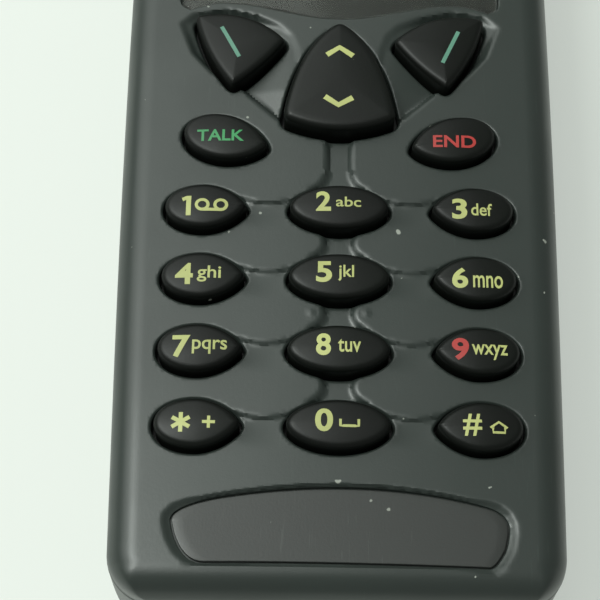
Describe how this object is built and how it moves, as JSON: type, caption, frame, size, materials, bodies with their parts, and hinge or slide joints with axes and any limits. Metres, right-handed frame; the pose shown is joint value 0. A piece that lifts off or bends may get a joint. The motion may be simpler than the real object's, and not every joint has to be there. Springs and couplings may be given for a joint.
{
  "type": "candybar mobile phone",
  "caption": "Upright mobile phone with a dial keypad, shaped soft and scroll keys, a display window, a pull-out whip antenna and a slide-off battery.",
  "frame": {"origin": "on the surface that the phone lies on, under the middle of its bounding box", "axes": "+X to the right of the keypad, +Y towards the earpiece and the antenna, +Z out of the keypad face"},
  "size_m": [0.047, 0.1484, 0.03],
  "materials": {
    "alloy": "cast light metal",
    "black": "matt black",
    "board": "green circuit board",
    "cells": "shrink-wrapped cells",
    "cover": "satin moulded plastic, dark grey-green",
    "gold": "gold-plated contact",
    "key": "satin rubber",
    "lamp": "small green lamp",
    "lcd": "grey-green display glass",
    "plate": "satin film",
    "soft": "soft black rubber",
    "steel": "plain metal",
    "white": "white moulded plastic",
    "window": "polished clear plastic with a dark printed border"
  },
  "bodies": {
    "handset": {"front_cover": "cover", "display_window": "window", "label_plate": "plate", "earpiece_mesh": "black", "earpiece_gasket": "soft", "earpiece_capsule": "steel", "lcd_glass": "lcd", "lcd_frame": "white", "lcd_connector": "soft", "keypad_mat": "key", "dome_sheet": "steel", "ui_board": "board", "keypad_lamps": "lamp", "chassis_frame": "alloy", "main_board": "board", "rf_shields": "steel", "buzzer": "black", "microphone": "steel", "microphone_boot": "soft", "system_connector": "black", "charger_jack": "black", "backup_cell": "steel", "rear_cover": "cover", "cover_screws": "steel", "threaded_inserts": "gold", "antenna_base": "black", "antenna_guide": "gold", "power_switch": "black", "volume_switch": "black", "battery_contacts": "gold"},
    "key_1": {"key_1": "key"},
    "key_2": {"key_2": "key"},
    "key_3": {"key_3": "key"},
    "key_4": {"key_4": "key"},
    "key_5": {"key_5": "key"},
    "key_6": {"key_6": "key"},
    "key_7": {"key_7": "key"},
    "key_8": {"key_8": "key"},
    "key_9": {"key_9": "key"},
    "key_star": {"key_star": "key"},
    "key_0": {"key_0": "key"},
    "key_hash": {"key_hash": "key"},
    "key_talk": {"key_talk": "key"},
    "key_end": {"key_end": "key"},
    "soft_key_left": {"soft_key_left": "key"},
    "soft_key_right": {"soft_key_right": "key"},
    "scroll_key": {"scroll_key": "key"},
    "power_key": {"power_key": "key"},
    "volume_rocker": {"volume_rocker": "key"},
    "antenna": {"antenna_whip": "steel", "antenna_tip": "black"},
    "battery": {"battery_case": "cover", "battery_cells": "cells", "battery_terminals": "gold"},
    "battery_latch": {"battery_latch": "cover"}
  },
  "joints": [
    {"name": "key_1_press", "type": "slide", "parent": "handset", "child": "key_1", "axis": [0, 0, -1], "range_m": [0, 0.0006], "stiffness_N_per_m": 1500},
    {"name": "key_2_press", "type": "slide", "parent": "handset", "child": "key_2", "axis": [0, 0, -1], "range_m": [0, 0.0006], "stiffness_N_per_m": 1500},
    {"name": "key_3_press", "type": "slide", "parent": "handset", "child": "key_3", "axis": [0, 0, -1], "range_m": [0, 0.0006], "stiffness_N_per_m": 1500},
    {"name": "key_4_press", "type": "slide", "parent": "handset", "child": "key_4", "axis": [0, 0, -1], "range_m": [0, 0.0006], "stiffness_N_per_m": 1500},
    {"name": "key_5_press", "type": "slide", "parent": "handset", "child": "key_5", "axis": [0, 0, -1], "range_m": [0, 0.0006], "stiffness_N_per_m": 1500},
    {"name": "key_6_press", "type": "slide", "parent": "handset", "child": "key_6", "axis": [0, 0, -1], "range_m": [0, 0.0006], "stiffness_N_per_m": 1500},
    {"name": "key_7_press", "type": "slide", "parent": "handset", "child": "key_7", "axis": [0, 0, -1], "range_m": [0, 0.0006], "stiffness_N_per_m": 1500},
    {"name": "key_8_press", "type": "slide", "parent": "handset", "child": "key_8", "axis": [0, 0, -1], "range_m": [0, 0.0006], "stiffness_N_per_m": 1500},
    {"name": "key_9_press", "type": "slide", "parent": "handset", "child": "key_9", "axis": [0, 0, -1], "range_m": [0, 0.0006], "stiffness_N_per_m": 1500},
    {"name": "key_star_press", "type": "slide", "parent": "handset", "child": "key_star", "axis": [0, 0, -1], "range_m": [0, 0.0006], "stiffness_N_per_m": 1500},
    {"name": "key_0_press", "type": "slide", "parent": "handset", "child": "key_0", "axis": [0, 0, -1], "range_m": [0, 0.0006], "stiffness_N_per_m": 1500},
    {"name": "key_hash_press", "type": "slide", "parent": "handset", "child": "key_hash", "axis": [0, 0, -1], "range_m": [0, 0.0006], "stiffness_N_per_m": 1500},
    {"name": "key_talk_press", "type": "slide", "parent": "handset", "child": "key_talk", "axis": [0, 0, -1], "range_m": [0, 0.0006], "stiffness_N_per_m": 1500},
    {"name": "key_end_press", "type": "slide", "parent": "handset", "child": "key_end", "axis": [0, 0, -1], "range_m": [0, 0.0006], "stiffness_N_per_m": 1500},
    {"name": "soft_key_left_press", "type": "slide", "parent": "handset", "child": "soft_key_left", "axis": [0, 0, -1], "range_m": [0, 0.0006], "stiffness_N_per_m": 1500},
    {"name": "soft_key_right_press", "type": "slide", "parent": "handset", "child": "soft_key_right", "axis": [0, 0, -1], "range_m": [0, 0.0006], "stiffness_N_per_m": 1500},
    {"name": "scroll_key_rock", "type": "hinge", "parent": "handset", "child": "scroll_key", "pos_m": [0, -0.01975, 0.0253], "axis": [1, 0, 0], "range_deg": [-2.5, 2.5], "stiffness_Nm_per_rad": 0.08},
    {"name": "power_key_press", "type": "slide", "parent": "handset", "child": "power_key", "axis": [0, -1, 0], "range_m": [0, 0.0004], "stiffness_N_per_m": 1500},
    {"name": "volume_rocker_rock", "type": "hinge", "parent": "handset", "child": "volume_rocker", "pos_m": [-0.021, 0.01555, 0.0203], "axis": [0, 0, 1], "range_deg": [-1.8, 1.8], "stiffness_Nm_per_rad": 0.08},
    {"name": "antenna_extend", "type": "slide", "parent": "handset", "child": "antenna", "axis": [0, 1, 0], "range_m": [0, 0.08]},
    {"name": "battery_slide", "type": "slide", "parent": "handset", "child": "battery", "axis": [0, -1, 0], "range_m": [0, 0.1]},
    {"name": "battery_latch_slide", "type": "slide", "parent": "handset", "child": "battery_latch", "axis": [0, 1, 0], "range_m": [0, 0.0015], "stiffness_N_per_m": 1200}
  ]
}
